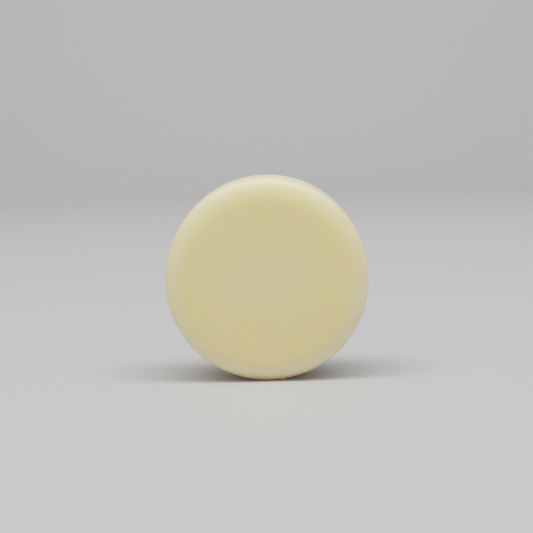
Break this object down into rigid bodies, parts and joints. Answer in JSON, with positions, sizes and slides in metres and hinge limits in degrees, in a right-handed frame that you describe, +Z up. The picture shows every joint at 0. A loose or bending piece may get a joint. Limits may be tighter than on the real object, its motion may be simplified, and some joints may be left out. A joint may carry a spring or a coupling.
{
  "type": "shaving soap puck",
  "caption": "Round pressed puck of shaving soap with flat faces, soft shoulders and a straight side band, standing on its band.",
  "frame": {"origin": "middle of the place where the side band touches the surface that the puck stands on, midway between the two faces", "axes": "+Z up, -Y out of the front face, +Y out of the rear face, +X to the right as seen from the front; the puck's round axis is parallel to Y"},
  "size_m": [0.07, 0.0254, 0.07],
  "materials": {
    "soap": "satin"
  },
  "bodies": {
    "root": {"soap_puck": "soap"}
  },
  "joints": []
}
